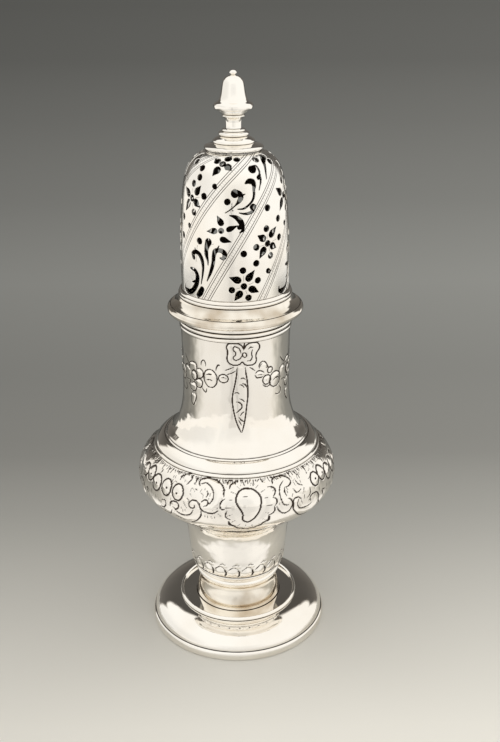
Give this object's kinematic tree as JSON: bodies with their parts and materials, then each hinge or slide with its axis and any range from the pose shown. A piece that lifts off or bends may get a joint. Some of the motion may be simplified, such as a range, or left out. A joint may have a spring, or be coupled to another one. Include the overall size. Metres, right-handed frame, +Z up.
{
  "type": "sugar caster",
  "caption": "Baluster sugar caster in silver with a spreading domed foot, chased body, reeded mouldings and a tall pierced lift-off cover with a bell finial.",
  "frame": {"origin": "centre of the underside of the foot, on the table", "axes": "+Z up along the caster's axis, -Y towards the front, where one bow and one shell are chased, +X to the viewer's right"},
  "size_m": [0.0722, 0.0722, 0.2033],
  "materials": {
    "mirror_silver": "polished silver, mirror bright, fine wear",
    "chased_silver": "polished silver with chased ornament, dark in its lines",
    "inner_silver": "plain silver, duller, seldom polished"
  },
  "bodies": {
    "caster": {"foot_rim_wire": "mirror_silver", "foot_dome": "mirror_silver", "foot_collar_wire": "mirror_silver", "foot_stem": "mirror_silver", "stem_ring_wire": "mirror_silver", "body_bulb": "chased_silver", "shoulder_moulding": "mirror_silver", "body_neck": "chased_silver", "mouth_reed_wire": "mirror_silver"},
    "cover": {"cover_bezel": "inner_silver", "cover_flange": "mirror_silver", "cover_reed_wire": "mirror_silver", "cover_dome": "chased_silver", "cover_cap": "mirror_silver", "finial_stem": "mirror_silver", "finial_bell": "mirror_silver", "finial_button": "mirror_silver"}
  },
  "joints": [
    {"name": "cover_lift", "type": "slide", "parent": "caster", "child": "cover", "axis": [0, 0, 1], "range_m": [0, 0.05]}
  ]
}
